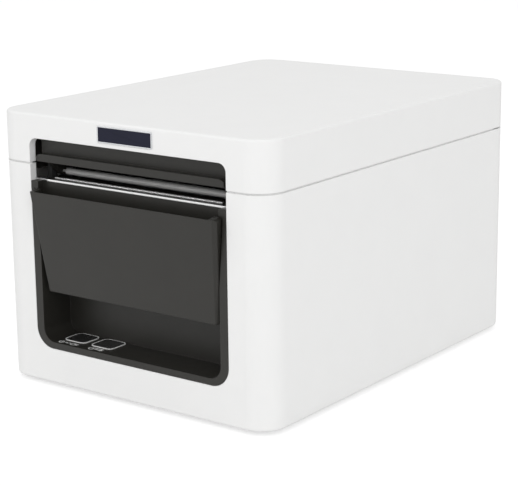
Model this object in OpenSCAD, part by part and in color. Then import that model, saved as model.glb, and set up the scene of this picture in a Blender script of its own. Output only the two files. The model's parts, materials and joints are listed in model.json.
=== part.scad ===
// Front-exit thermal receipt printer: a two-part case with a rear-hinged lid, a full-width
// release lever over a finger recess, a clamshell print mechanism and a guillotine cutter.
// x runs across the printer, y from its front to its back and z up. Every piece is drawn in
// place; inside placed(), y counts from the front face and z from the case's lower edge.

/* [Case] */
// Width of the case
case_w = 130; // [126:1:150]
// Depth of the case from front face to rear face
case_d = 175; // [172:1:200]
// Height from the lower edge of the case to the top of the lid
case_h = 107; // [106:1:120]
// Height of the lid above the parting line
lid_h = 19.4; // [18:0.2:22]
// Gap that shows at the parting line
seam_gap = 0.6; // [0.4:0.1:1.2]
// Thickness of the side, rear and top walls
wall_t = 2.4; // [2:0.1:2.8]
// Thickness of the front wall
front_t = 3.2; // [2.6:0.1:3.6]
// Radius of the four upright corners
corner_r = 10.5; // [7:0.5:13]
// Rounding of the top edge
top_r = 1; // [0.5:0.1:2]
// Rounding of the bottom edge
bottom_r = 1.5; // [0.5:0.1:2]
// Height of the rubber feet
foot_h = 1.5; // [1:0.1:3]
// Radius of the rubber feet
foot_r = 6; // [4:0.5:8]

/* [Mouth] */
// Width of the mouth cut through case and lid
mouth_w = 94.8; // [92:0.2:96]
// Height of the mouth's lower edge
mouth_bottom = 14.5; // [13:0.5:17]
// Height of the mouth's upper edge above the parting line
mouth_rise = 9.9; // [8:0.1:11]
// Radius of the mouth's lower corners
mouth_low_r = 8; // [4:0.5:10]
// Radius of the mouth's upper corners
mouth_top_r = 3.3; // [1:0.1:5]

/* [Bezel and finger recess] */
// Width of the bezel's side rims
rim_w = 3.7; // [3:0.1:4.5]
// Height of the bezel's lower rim
rim_h = 2.7; // [2:0.1:4]
// Distance from the parting line down to the bezel's top edge
bezel_drop = 6.7; // [6:0.1:7.6]
// Wall of the bezel moulding
bezel_t = 1.8; // [1.4:0.1:2]
// Depth of the finger recess
recess_d = 15.3; // [13:0.1:15.5]
// How far the recess's ceiling lies above the lever's lower edge
recess_rise = 3.8; // [3:0.1:4.5]
// Depth of the pocket behind the release lever
pocket_d = 11; // [10:0.5:12]

/* [Release lever] */
// How far the lever's top edge stands in front of the case
lever_proud = 4.2; // [3:0.1:6]
// How far the lever's lower edge lies behind the front face
lever_sink = 1.1; // [0.8:0.1:1.6]
// Distance from the bezel's top edge down to the lever's
lever_drop = 3.4; // [3:0.1:4.5]
// Height of the lever from edge to edge
lever_h = 40.1; // [38:0.1:42]
// Width of the lever at its top edge
lever_top_w = 90.4; // [88:0.2:91]
// Width of the lever at its lower edge
lever_bottom_w = 84.4; // [82:0.2:86]
// Depth of the lever's side skirts
lever_t = 4.1; // [3.4:0.1:4.4]
// Height of the axle above the lever's lower edge
axle_rise = 9.6; // [9:0.1:10.5]

/* [Keys] */
// Width of a key
key_w = 9.6; // [8:0.1:10.5]
// Front to back size of a key
key_d = 8.8; // [7:0.1:9]
// Distance from the middle of the case to the power key
power_key_x = -33; // [-35:0.5:-32]
// Distance between the middles of the two keys
key_pitch = 13.8; // [12.5:0.1:16]
// Travel of a key
key_travel = 0.5; // [0.3:0.1:0.5]

/* [Paper] */
// Width of the paper
paper_w = 80; // [79:0.5:80]
// Height of the paper bucket's underside above the case's lower edge
bucket_low = 16.4; // [15:0.1:20]
// How far the paper's path lies below the parting line
paper_drop = 5.35; // [5.2:0.05:5.6]
// Diameter of the platen roller
platen_d = 11.6; // [11:0.1:12]
// Diameter of the platen shaft
platen_shaft_d = 6; // [5:0.5:6]
// Diameter of the small roller in the paper exit
exit_roller_d = 2.6; // [2.2:0.1:2.8]
// Length of the small roller in the paper exit
exit_roller_len = 79.4; // [76:0.2:79.6]

/* [Gears and cutter] */
// Module of the gears
gear_m = 0.6; // [0.55:0.05:0.6]
// Teeth of the platen gear
platen_teeth = 30; // [28:1:30]
// Teeth of the idler gear
idler_teeth = 36; // [34:1:36]
// Teeth of a motor pinion
motor_teeth = 12; // [12:1:14]
// Teeth of the cutter gear
cutter_teeth = 48; // [46:1:50]
// Module of the cutter's rack
rack_m = 0.8; // [0.7:0.05:0.8]
// Teeth of the pinions that drive the racks
rack_teeth = 14; // [13:1:14]
// Rise of the moving blade
blade_travel = 8; // [6:0.5:8]
// Thickness of the moving blade
blade_t = 1; // [0.8:0.1:1]

/* [Hidden] */

$fn = 64;
fit = 0.05;          // running clearance of a shaft, on the radius
gap = 0.3;           // air between pieces that must not touch
thin = 0.01;         // thickness of the slices that a rounded block is stretched over
cut = 1;             // how far a cutting shape runs past what it cuts
weld = 0.3;          // how far a rib or boss runs into the wall that carries it

front_y = (lever_proud - case_d) / 2;
half_w = case_w / 2;
seam_z = case_h - lid_h;
inner_half = half_w - wall_t;
case_top = seam_z - seam_gap / 2;
lid_bottom = seam_z + seam_gap / 2;
lid_ceiling = case_h - wall_t;
step_back = 0.6;
step_t = 1;
step_air = 0.15;
step_short = 6;
tongue_y = [corner_r + 3, case_d - corner_r - 3];
tongue_t = 1;
tongue_h = 1.6;

// Bottom of the case
plate_low = 0.6;
plate_high = 3;
boss_r = 3.6;
boss_h = 13;
boss_inset = 7.2;
boss_floor = 2;
rib_t = 2;
screw_r = 1.25;
screw_head_r = 2.6;
screw_head_h = 1.4;
screw_len = 9;
cross_w = 3;
cross_t = 0.7;
foot_inset = 16;
foot_end = 22;
slot_count = 5;
slot_pitch = 8;
slot_w = 2.4;
slot_len = 28;

// Hinge
hinge_inset = 3.5;
hinge_y = case_d - hinge_inset;
knuckle_r = 3.2;
hinge_rod_r = 1.5;
knuckle_web = 9;
case_knuckle = [46, 56];
lid_knuckle = [35, 45.6];
knuckle_air = 0.45;
relief_reach = 20;

// Bezel and recess
mouth_top = seam_z + mouth_rise;
bezel_top = seam_z - bezel_drop;
bezel_clear = 0.15;
rim_half = mouth_w / 2 - bezel_clear;
recess_half = mouth_w / 2 - rim_w;
recess_floor = mouth_bottom + rim_h;
recess_r = mouth_low_r - rim_w + 1;
rim_t = front_t;
bezel_top_r = 0.5;
band_y = 3;
band_low = bezel_top - 6.4;
deck_top = bezel_top - 0.3;
deck_end = recess_d + 0.1;
slot_y = band_y + 3.6;
slot_t = 0.7;
slot_deep = 5;
tear_rise = 0.85;
tear_top = bezel_top + tear_rise;
tear_lip = 0.6;
tear_fold = 0.4;
tear_rest = 0.8;
ceiling_y = 7.2;

// Lever
lever_top = bezel_top - lever_drop;
lever_bottom = lever_top - lever_h;
recess_top = lever_bottom + recess_rise;
axle_z = lever_bottom + axle_rise;
lever_tilt = atan((lever_proud + lever_sink) / lever_h);
lever_len = lever_h / cos(lever_tilt);
lever_wall = 1.9;
lever_corner = 1.2;
lever_edge = 0.3;
lever_ease = 1.2;
lever_side_turn = atan((lever_top_w - lever_bottom_w) / 2 / (lever_len - 2 * lever_corner));
lever_open = 2;
lever_open_half = lever_top_w / 2 - lever_corner - lever_wall;
lever_rib_x = 22;
lever_rib_t = 1.4;
lever_rib_sink = 0.4;
axle_y = 6.9;
axle_r = 1.5;
axle_half = mouth_w / 2 + 1.8;
lug_r = 2.9;
lug_x = [34, 38];
coil_turns = 4;
coil_pitch = 0.9;
coil_start = 1.6;
coil_r = 2.7;
coil_wire = 0.6;
coil_arm = 12;
hook_x = [mouth_w / 2 - 1.2, mouth_w / 2 + 0.8];
hook_hub_r = 3.1;
stud_y = 15.4;
stud_z = seam_z + 4.4;
stud_r = 1.6;
hook_w = 3.1;
hook_front = stud_y - stud_r - gap - hook_w;
hook_low = stud_z + stud_r + gap;
hook_reach = 1.8;
hook_t = 2.8;
hook_lead = 0.8;
hook_knee = 15;

// Print mechanism
paper_z = seam_z - paper_drop;
platen_y = 32;
platen_r = platen_d / 2;
platen_z = paper_z + platen_r + 0.1;
strip_top = platen_z - platen_r - gap;
shaft_r = platen_shaft_d / 2;
bush_r = shaft_r + 1.2;
side_in = paper_w / 2 + 3.2;
side_t = 1.2;
side_out = side_in + side_t;
bracket_gap = 0.6;
bracket_t = 2;
bracket_x = [paper_w / 2 + bracket_gap, paper_w / 2 + bracket_gap + bracket_t];
gear_gap = 2;
gear_w = 4;
gear_x = [side_out + gear_gap, side_out + gear_gap + gear_w];
frame_y = [19.2, 60];
mech_h = 59.5;
frame_high = paper_z - 0.75;
frame_low = frame_high - mech_h;
frame_step = 9;
frame_slant = 4;
frame_lean = 2;
flange_w = 2.6;
flange_drop = 2.5;
tower_y = [platen_y - 8.5, platen_y + 9];
tower_top = platen_z + 3.3;
post_r = 4;
post_y = [frame_y[0] + 6.8, frame_y[1] - 7];
post_x = side_in - 7.2;
mech_screw_len = 7;
mech_screw_head_r = 2.4;
mech_screw_head_h = 1.2;

// Gear train of the platen
idler_y = platen_y;
idler_z = platen_z - gear_m * (platen_teeth + idler_teeth) / 2;
idler_dir = -44;
motor_gap = gear_m * (idler_teeth + motor_teeth) / 2;
motor_y = idler_y + motor_gap * cos(idler_dir);
motor_z = idler_z + motor_gap * sin(idler_dir);
motor_r = 15;
motor_len = 26;
motor_boss_r = 4;
boss_out = 0.3;
terminal_w = 12;
terminal_h = 2.5;
terminal_end = 7;
stud_axle_r = 1.5;
web_deep = 1.4;
web_in = 4;
web_out = 8;
web_hub = 1.2;
stud_cap_r = 2.4;

// Thermal head
head_half = paper_w / 2 + 2;
head_front = 24;
head_pivot_y = frame_y[1] - 8;
strip_y = [head_front + 1.5, head_front + 14];
strip_t = 0.7;
strip_over = 0.4;
glaze_w = 4;
chip_inset = 6;
chip_w = 5;
chip_h = 1.1;
groove_start = 6;
groove_inset = 4;
groove_w = 2;
groove_h = 1.6;
head_pivot_z = strip_top - 3.85;
head_low = strip_top - 4.55;
head_high = strip_top - 1.15;
spring_seat = head_low - 5.7;
spring_y = 30;
spring_x = 27;
spring_turns = 4;
spring_wire = 0.5;
spring_r = 2.2;
spring_len = head_low - spring_seat - gap;
spring_pitch = (spring_len - 2 * spring_wire) / spring_turns;

// Cutter
blade_y = 16.6;
blade_half = paper_w / 2 + 1.5;
blade_top = paper_z - 1.85;
blade_h = 22;
blade_vee = 3;
guide_y = blade_y + blade_t + gap;
guide_t = 1.2;
guide_low = frame_low + 6;
guide_top = frame_high - flange_drop;
guide_bridge = 3;
guide_hole_r = 4;
guide_pitch = 13;
guide_hole_rise = 22;
guide_hole_z = frame_low + guide_hole_rise;
rack_x = [37, 40];
rack_pitch_y = 21.8;
pinion_r = rack_m * rack_teeth / 2;
cross_y = rack_pitch_y + pinion_r;
rack_drop = 42.4;
cross_z = blade_top - rack_drop;
cross_r = 2;
cutter_gear_x = [52, 55];
cutter_dir = 50;
cutter_gap = gear_m * (cutter_teeth + motor_teeth) / 2;
cutter_motor_y = cross_y + cutter_gap * cos(cutter_dir);
cutter_motor_z = cross_z + cutter_gap * sin(cutter_dir);
cutter_motor_r = 10;
cutter_motor_len = 24;
cutter_boss_r = 3;
cutter_cap_r = 3.5;
cutter_cap_h = 1.5;
motor_shaft_r = 1;

// Roll bucket
roll_clear = 1.5;
roll_top_gap = 0.7;
liner_t = 1.4;
bucket_t = 1.6;
roll_top = lid_ceiling - liner_t - roll_top_gap;
roll_d = roll_top - roll_clear - bucket_t - bucket_low;
bucket_r = roll_d / 2 + roll_clear;
bucket_z = roll_top - roll_d / 2;
bucket_half = paper_w / 2 + roll_clear;
deck_z = seam_z - 3.8;
ledge_w = 2;
ledge_h = 3;
ledge_y = 24;
ledge_short = 6;
deck_t = 2;
deck_front = frame_y[1] + 2;
deck_rear = hinge_y - knuckle_r - 1.2;
bucket_y = deck_rear - 2.5 - bucket_t - bucket_r;
cover_in = gear_x[1] + 1;

// Lid liner
skirt_t = 1.6;
skirt_y = [corner_r + 4, case_d - corner_r - 6];
skirt_low = seam_z + 1.4;
lip_front = 1.35;
lip_low = seam_z + 0.8;
lip_h = 2.9;
lip_half = mouth_w / 2 - 2;
lip_swell = 0.6;
wall_y = 4.6;
wall_back = 6.4;
cheek_x = [hook_x[1] + 0.7, hook_x[1] + 2.2];
cheek_rear = stud_y + 5.6;
exit_y = 12.6;
exit_z = bezel_top + 2.25;
exit_journal_r = 0.55;
arm_air = 2;
arm_x = [exit_roller_len / 2 + arm_air, exit_roller_len / 2 + arm_air + 1.8];
arm_half = 1.6;
arm_foot = 1.1;
fixed_y = [blade_y + blade_t + 0.15, 25.5];
fixed_low = paper_z + 0.65;
fixed_t = 1;
beam_y = [fixed_y[0] + 1.6, fixed_y[1] - 0.4];
beam_low = fixed_low + fixed_t;
beam_t = 3;
beam_web = 1.6;
beam_pitch = 15;
plate_rib_y = 56;
plate_rib_pitch = 22;
plate_rib_t = 1.2;
plate_rib_h = 0.5;
rib_inset = 2;
stud_neck = 0.3;
bracket_rim = 1.8;

// Switch under the lid and sensor of the roll
micro_w = 5;
micro_d = 9;
micro_h = 7;
plunger_w = 2;
plunger_h = 1.6;
cover_switch_y = frame_y[1] - 16;
cover_switch_z = deck_z - 6.8;
window = [-14, -30];
window_r = 2.2;

// Electronics
board_low = 6;
board_t = 1.6;
board_top = board_low + board_t;
board_y = [frame_y[1] + 6, case_d - wall_t - 2.5];
board_half = inner_half - boss_inset - boss_r - 1.8;
pillar_x = board_half - 12;
pillar_y = [board_y[0] + 5, board_y[1] - 8];
pillar_r = 3;
port_face = case_d - 1;

// ---------------------------------------------------------------- shared shapes

// Moves a piece drawn from the front face and the case's lower edge to its place
module placed() translate([0, front_y, foot_h]) children();

// Extrudes an outline drawn in (y, z) from one x to another
module along_x(span) translate([span[0], 0, 0]) rotate([90, 0, 90])
    linear_extrude(span[1] - span[0]) children();

// Extrudes an outline drawn in (x, z) from one y to another
module along_y(span) translate([0, span[1], 0]) rotate([90, 0, 0])
    linear_extrude(span[1] - span[0]) children();

// A box between two corners
module span_box(low, high) translate(low) cube(high - low);

// A round rod along x
module rod_x(span, y, z, r) translate([span[0], y, z]) rotate([0, 90, 0])
    cylinder(h = span[1] - span[0], r = r);

// The children, and their mirror image on the other side
module both_sides() {
    children();
    mirror([1, 0, 0]) children();
}

// The outline of the case seen from above, grown or shrunk by an amount
module case_outline(grow) translate([0, case_d / 2])
    offset(r = corner_r + grow) square([case_w - 2 * corner_r, case_d - 2 * corner_r], center = true);

// The hollow inside the walls seen from above, shrunk by an amount
module hollow_outline(shrink) intersection() {
    case_outline(-wall_t - shrink);
    translate([-half_w, front_t + shrink]) square([case_w, case_d - wall_t - front_t - 2 * shrink]);
}

// The outer block between two heights: its far edge is rounded, its near edge is square
module case_block(near, far, r) hull() {
    up = sign(far - near);
    translate([0, 0, min(near, far - up * r)]) linear_extrude(abs(far - near) - r) case_outline(0);
    for (a = [18:18:90]) translate([0, 0, far - up * (r * (1 - sin(a)) + thin / 2) - thin / 2])
        linear_extrude(thin) case_outline(-r * (1 - cos(a)));
}

// Outline of the mouth seen from the front, shrunk by an amount
module mouth_outline(shrink, low, high, low_r, high_r) hull() {
    for (side = [-1, 1]) {
        translate([side * (mouth_w / 2 - shrink - low_r), low + low_r]) circle(r = low_r);
        translate([side * (mouth_w / 2 - shrink - high_r), high - high_r]) circle(r = high_r);
    }
}

// One flank point of an involute tooth, at a roll angle in degrees
function involute(base, roll) =
    base * [cos(roll) + roll * PI / 180 * sin(roll), sin(roll) - roll * PI / 180 * cos(roll)];
function turned(p, a) = [p[0] * cos(a) - p[1] * sin(a), p[0] * sin(a) + p[1] * cos(a)];
function polar(r, a) = [r * cos(a), r * sin(a)];

pressure = 20;       // pressure angle of the teeth
backlash = 0.12;     // play between meshing flanks
addendum = 0.85;     // tooth height above the pitch circle, in modules
dedendum = 1.2;      // tooth depth below it, in modules

// Roll angle at which an involute reaches a radius
function roll_at(base, r) = r <= base ? 0 : 180 / PI * sqrt(pow(r / base, 2) - 1);
// Polar angle of an involute's point at that roll
function involute_turn(base, r) = roll_at(base, r) - acos(min(1, base / r));

// Outline of a spur gear with a tooth centred at the angle phase
module gear_outline(m, teeth, phase) {
    pitch_r = m * teeth / 2;
    base = pitch_r * cos(pressure);
    tip = pitch_r + addendum * m;
    root = pitch_r - dedendum * m;
    half = 90 / teeth - backlash / 2 / pitch_r * 90 / PI + involute_turn(base, pitch_r);
    radii = [max(base, root), (base + pitch_r) / 2 + 0.05 * m, pitch_r + 0.2 * m, tip];
    polygon([for (i = [0:teeth - 1], p = concat(
        [polar(root, -half)],
        [for (r = radii) polar(r, -half + involute_turn(base, r))],
        [for (k = [3:-1:0]) polar(radii[k], half - involute_turn(base, radii[k]))],
        [polar(root, half)])) turned(p, phase + i * 360 / teeth)]);
}

// Phase that a second gear needs to mesh with a first one that lies at the angle dir from it
function mesh_phase(n_first, phase_first, dir, n_second) =
    dir + 180 - n_first / n_second * (phase_first - dir) + 180 / n_second;

// A spur gear on the x axis through a point, bored for its shaft
module gear_x_axis(span, y, z, m, teeth, phase, bore) translate([0, y, z]) along_x(span)
    difference() {
        gear_outline(m, teeth, phase);
        circle(r = bore);
    }

platen_phase = -90;
idler_phase = mesh_phase(platen_teeth, platen_phase, -90, idler_teeth);
feed_phase = mesh_phase(idler_teeth, idler_phase, idler_dir, motor_teeth);
rack_phase = 180;
cutter_phase = 0;
cutter_motor_phase = mesh_phase(cutter_teeth, cutter_phase, cutter_dir, motor_teeth);

// ---------------------------------------------------------------- case

// The V cut that lets the lid swing back over the case, above or below the hinge
module hinge_relief(up) translate([0, hinge_y, seam_z]) along_x([-case_w, case_w]) polygon([
    [0, -up * seam_gap / 2],
    [hinge_inset + cut, -up * (hinge_inset + cut + seam_gap / 2)],
    [hinge_inset + cut, up * relief_reach],
    [0, up * relief_reach]]);

// A hinge knuckle with its web, pointing down (side -1) or up (side 1)
module knuckle(span, side) {
    rod_x(span, hinge_y, seam_z, knuckle_r);
    span_box([span[0], hinge_y - knuckle_r, side > 0 ? seam_z : seam_z - knuckle_web],
        [span[1], hinge_y + hinge_inset - wall_t + weld, side > 0 ? seam_z + knuckle_web : seam_z]);
}

// Room for the other part's knuckles, with a little air at each end
module knuckle_room(span) rod_x([span[0] - gap, span[1] + gap], hinge_y, seam_z, knuckle_r + knuckle_air);

module hinge_bore() rod_x([-case_w, case_w], hinge_y, seam_z, hinge_rod_r + fit);

// Positions of the four screws in the base
base_points = [for (x = [-1, 1], y = [front_t + boss_inset, case_d - wall_t - boss_inset])
    [x * (inner_half - boss_inset), y]];

// Sockets in the rear wall: [middle x, width, height], each standing on the board
port_inset = 12;
power_port = [port_inset - board_half, 12, 11];
usb_hole = [-14, 12, 11];
lan_hole = [12, 16, 13.4];
drawer_hole = [board_half - port_inset, 13.2, 12];
port_clear = 0.3;
port_wall = 1.3;
plug_depth = 8;
inlet_half = 4.6;
inlet_h = 8.4;
inlet_chamfer = 2;
inlet_depth = 13;
pin_pitch = 2.4;
pin_t = 0.8;
pin_w = 2;
usb_half = 4.3;
usb_step = 5.6;
usb_h = 7.6;
usb_shoulder = 1.7;
usb_depth = 14;
jack_depth = 15;

module port_cut(port) span_box(
    [port[0] - port[1] / 2 - port_clear, case_d - wall_t - cut, board_top - port_clear],
    [port[0] + port[1] / 2 + port_clear, case_d + cut, board_top + port[2] + port_clear]);

// Step in the wall's rim that closes the groove between case and lid, as far as the hinge allows
module seam_step() intersection() {
    translate([0, 0, case_top - thin]) linear_extrude(seam_gap - step_air + thin) difference() {
        case_outline(-step_back);
        case_outline(-step_back - step_t);
    }
    translate([-half_w, 0, 0]) cube([case_w, hinge_y - knuckle_r - step_short, case_h]);
}

module lower_case() color("whitesmoke") placed() difference() {
    union() {
        difference() {
            case_block(case_top, 0, bottom_r);
            translate([0, 0, -cut]) linear_extrude(case_top + 2 * cut) hollow_outline(0);
            hinge_relief(1);
            both_sides() knuckle_room(lid_knuckle);
        }
        seam_step();
        // bosses for the base screws, tied to the side walls
        for (p = base_points) {
            translate([p[0], p[1], plate_high]) cylinder(h = boss_h, r = boss_r);
            span_box([min(p[0], sign(p[0]) * (inner_half + weld)), p[1] - rib_t / 2, plate_high],
                [max(p[0], sign(p[0]) * (inner_half + weld)), p[1] + rib_t / 2, plate_high + boss_h]);
        }
        both_sides() {
            // ledge that carries the roll bucket's deck
            span_box([inner_half - ledge_w, ledge_y, deck_z - ledge_h],
                [inner_half + weld, deck_rear - ledge_short, deck_z]);
            // tongue behind the parting line
            span_box([inner_half, tongue_y[0], case_top - cut],
                [inner_half + tongue_t, tongue_y[1], seam_z + tongue_h]);
            knuckle(case_knuckle, -1);
        }
    }
    // mouth, open at the top
    along_y([-cut, front_t + cut])
        mouth_outline(0, mouth_bottom, 2 * case_h, mouth_low_r, mouth_top_r);
    hinge_bore();
    for (p = base_points) translate([p[0], p[1], plate_high - cut])
        cylinder(h = boss_h - boss_floor, r = screw_r);
    for (port = [power_port, usb_hole, lan_hole, drawer_hole]) port_cut(port);
}

module base_plate() color("whitesmoke") placed() difference() {
    union() {
        translate([0, 0, plate_low]) linear_extrude(plate_high - plate_low) hollow_outline(gap);
        // posts under the print mechanism
        for (x = [-post_x, post_x], y = post_y) translate([x, y, plate_high - thin])
            cylinder(h = frame_low - plate_high + thin, r = post_r);
        // pillars under the main board
        for (x = [-pillar_x, pillar_x], y = pillar_y) translate([x, y, plate_high - thin])
            cylinder(h = board_low - plate_high + thin, r = pillar_r);
    }
    for (p = base_points) translate([p[0], p[1], plate_low - cut]) {
        cylinder(h = plate_high - plate_low + 2 * cut, r = screw_r + 0.3);
        cylinder(h = cut + screw_head_h, r = screw_head_r + 0.2);
    }
    // screw holes of the mechanism's posts
    for (x = [-post_x, post_x], y = post_y) translate([x, y, frame_low - mech_screw_len - cut])
        cylinder(h = mech_screw_len + 2 * cut, r = screw_r);
    // cooling slots
    for (i = [-slot_count:slot_count]) translate([i * slot_pitch, bucket_y - roll_d / 4, 0])
        span_box([-slot_w / 2, -slot_len / 2, plate_low - cut],
            [slot_w / 2, slot_len / 2, plate_high + cut]);
}

foot_points = [for (x = [-1, 1], y = [foot_end, case_d - foot_end])
    [x * (inner_half - foot_inset), y]];

module rubber_feet() color("dimgray") placed() for (p = foot_points)
    translate([p[0], p[1], -foot_h]) cylinder(h = foot_h + plate_low, r = foot_r);

module base_screws() color("silver") placed() for (p = base_points)
    translate([p[0], p[1], plate_low]) difference() {
        union() {
            cylinder(h = screw_head_h, r = screw_head_r);
            cylinder(h = screw_len, r = screw_r - fit);
        }
        // cross recess
        translate([0, 0, -cut]) linear_extrude(cut + cross_t) {
            square([cross_w, cross_t], center = true);
            square([cross_t, cross_w], center = true);
        }
    }

// Tray for the paper roll, with a deck that covers the works beside it
module roll_bucket() color([0.2, 0.2, 0.2]) placed() difference() {
    union() {
        bucket_deck();
        along_x([-bucket_half - bucket_t, bucket_half + bucket_t]) union() {
            translate([bucket_y, bucket_z]) circle(r = bucket_r + bucket_t);
            translate([bucket_y - bucket_r - bucket_t, bucket_z])
                square([2 * (bucket_r + bucket_t), deck_z + deck_t - bucket_z]);
        }
    }
    // the round trough and its way out at the top
    along_x([-bucket_half, bucket_half]) union() {
        translate([bucket_y, bucket_z]) circle(r = bucket_r);
        translate([bucket_y - bucket_r, bucket_z])
            square([2 * bucket_r, deck_z + deck_t + cut - bucket_z]);
    }
    // everything above the deck
    span_box([-half_w, 0, deck_z + deck_t], [half_w, case_d, case_h]);
    // window of the sensor that sees the roll run low
    rod_x([-bucket_half - bucket_t - cut, -bucket_half + cut], bucket_y + window[0],
        bucket_z + window[1], window_r);
}

module bucket_deck() {
    // main deck around the roll
    intersection() {
        translate([0, 0, deck_z]) linear_extrude(deck_t) hollow_outline(gap);
        span_box([-half_w, deck_front, deck_z], [half_w, deck_rear, deck_z + deck_t]);
    }
    // covers over the gears on each side
    intersection() {
        translate([0, 0, deck_z]) linear_extrude(deck_t) hollow_outline(gap);
        both_sides() span_box([cover_in, front_t, deck_z], [half_w, deck_front + cut, deck_z + deck_t]);
    }
    // rounded edge that leads the paper down to the head
    rod_x([-bucket_half, bucket_half], deck_front, deck_z + deck_t / 2, deck_t / 2);
}

module hinge_rod() color("silver") placed()
    rod_x([-case_knuckle[1], case_knuckle[1]], hinge_y, seam_z, hinge_rod_r);

// ---------------------------------------------------------------- bezel, keys and lever

// The room that the lever needs at rest, with a little air
module lever_room() lever_place() translate([0, 0, -gap]) rotate([90, 0, 0])
    translate([0, 0, -lever_t - gap]) linear_extrude(lever_t + 2 * gap) polygon([
        [-lever_bottom_w / 2 - gap, 0],
        [lever_bottom_w / 2 + gap, 0],
        [lever_top_w / 2 + 2 * gap, lever_len + 2 * gap],
        [-lever_top_w / 2 - 2 * gap, lever_len + 2 * gap]]);

// Outline of the recess seen from the front, grown by an amount
module recess_outline(grow) mouth_outline(rim_w - grow, recess_floor - grow, bezel_top,
    recess_r + grow, bezel_top_r);

key_y = 10;
key_points = [[power_key_x, key_y], [power_key_x + key_pitch, key_y]];
key_corner = 1.6;
key_clear = 0.15;

module key_outline(grow) offset(r = key_corner + grow)
    square([key_w - 2 * key_corner, key_d - 2 * key_corner], center = true);

module front_bezel() color([0.24, 0.24, 0.23]) placed() difference() {
    union() {
        // rim flush with the front face
        along_y([0, rim_t]) mouth_outline(bezel_clear, mouth_bottom + bezel_clear, bezel_top,
            mouth_low_r - bezel_clear, bezel_top_r);
        // walls of the recess and of the lever's pocket
        along_y([0, recess_d + bezel_t]) recess_outline(bezel_t);
        // rest in front of the tear bar, below its folded edge
        span_box([-tear_half - tear_rest, slot_y - tear_rest, bezel_top - weld],
            [tear_half + tear_rest, slot_y, tear_top - tear_lip - fit]);
        // bosses that carry the key board
        for (x = key_ends) translate([x, key_boss_y, key_board_top])
            cylinder(h = recess_floor - key_board_top - thin, r = key_boss_r);
    }
    // finger recess, with a rounded rear edge at its floor
    along_y([-cut, recess_d]) intersection() {
        recess_outline(0);
        translate([-half_w, 0]) square([case_w, recess_top]);
    }
    // pocket behind the lever
    span_box([-recess_half, -cut, recess_top + bezel_t], [recess_half, pocket_d, band_low]);
    span_box([-recess_half, -cut, recess_top - cut], [recess_half, ceiling_y, band_low]);
    span_box([-recess_half, -cut, band_low - cut], [recess_half, band_y, bezel_top + cut]);
    lever_room();
    // hollow behind the pocket's wall, below the deck
    span_box([-half_w, pocket_d + bezel_t, recess_top + bezel_t],
        [half_w, recess_d + bezel_t + cut, deck_top - bezel_t]);
    span_box([-half_w, deck_end, deck_top - bezel_t - cut],
        [half_w, recess_d + bezel_t + cut, bezel_top + cut]);
    // step down from the band to the deck, and the slot that holds the tear bar
    span_box([-half_w, slot_y, deck_top], [half_w, deck_end + cut, bezel_top + cut]);
    span_box([-recess_half, slot_y, bezel_top - slot_deep],
        [recess_half, slot_y + slot_t, bezel_top + cut]);
    // holes for the lever's axle
    rod_x([-half_w, half_w], axle_y, axle_z, axle_r + fit);
    // key holes in the floor
    for (p = key_points) translate([p[0], p[1], 0]) linear_extrude(recess_floor + cut)
        key_outline(key_clear);
    for (x = key_ends) translate([x, key_boss_y, key_board_top - cut])
        cylinder(h = key_bore_h + cut, r = key_bore_r);
}

key_top = recess_floor + 0.35;
key_flange = 0.9;
key_flange_t = 0.8;
key_flange_low = recess_floor - bezel_t - key_flange_t;
key_board_t = 1.6;
key_board_top = recess_floor - 9.4;
key_board_z = key_board_top - key_board_t;
key_board_end = 2.4;
ring_h = 0.25;
ring_in = 0.3;
ring_out = 0.75;
switch_w = 6;
switch_h = 3.4;
stem_r = 1.4;
stem_dip = 1.6;
key_ends = [power_key_x - 8, power_key_x + key_pitch + 8];
key_boss_y = 13;
key_boss_r = 1.8;
key_bore_r = 0.8;
key_bore_h = 5;

// A key cap with the flange that keeps it in the bezel and the stem that enters its switch
module key_cap(p) placed() translate([p[0], p[1], 0]) {
    translate([0, 0, key_flange_low]) linear_extrude(key_top - key_flange_low) key_outline(0);
    translate([0, 0, key_flange_low]) linear_extrude(key_flange_t) key_outline(key_flange);
    translate([0, 0, key_board_top + switch_h - stem_dip])
        cylinder(h = key_flange_low - key_board_top - switch_h + stem_dip + thin, r = stem_r);
}

module power_key() color([0.16, 0.16, 0.16]) key_cap(key_points[0]);
module feed_key() color([0.16, 0.16, 0.16]) key_cap(key_points[1]);

// Pale light guides that show as a thin line around each key
module key_rings() color("gainsboro") placed() for (p = key_points)
    translate([p[0], p[1], recess_floor]) linear_extrude(ring_h) difference() {
        key_outline(ring_out);
        key_outline(ring_in);
    }

module key_board() color("darkgreen") placed() difference() {
    span_box([key_ends[0] - key_board_end, front_t + 1, key_board_z],
        [key_ends[1] + key_board_end, recess_d + bezel_t - 0.4, key_board_top]);
    for (x = key_ends) translate([x, key_boss_y, key_board_z - cut])
        cylinder(h = key_board_t + 2 * cut, r = key_bore_r + gap);
}

module key_switches() color("black") placed() for (p = key_points)
    translate([p[0], p[1], key_board_top]) difference() {
        translate([-switch_w / 2, -switch_w / 2, 0]) cube([switch_w, switch_w, switch_h]);
        translate([0, 0, switch_h - stem_dip - key_travel - gap])
            cylinder(h = stem_dip + key_travel + gap + cut, r = stem_r + 0.1);
    }

// Frame of the lever: x across, y behind its face, z up its face from the lower edge
module lever_place() translate([0, lever_sink, lever_bottom]) rotate([lever_tilt, 0, 0]) children();

// The lever's face outline, drawn in (x, z) and shrunk by an amount
module lever_outline(shrink) offset(r = lever_corner) polygon([
    [-lever_bottom_w / 2 + lever_corner + shrink, lever_corner + shrink],
    [lever_bottom_w / 2 - lever_corner - shrink, lever_corner + shrink],
    [lever_top_w / 2 - lever_corner - shrink, lever_len - lever_corner - shrink],
    [-lever_top_w / 2 + lever_corner + shrink, lever_len - lever_corner - shrink]]);

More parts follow.
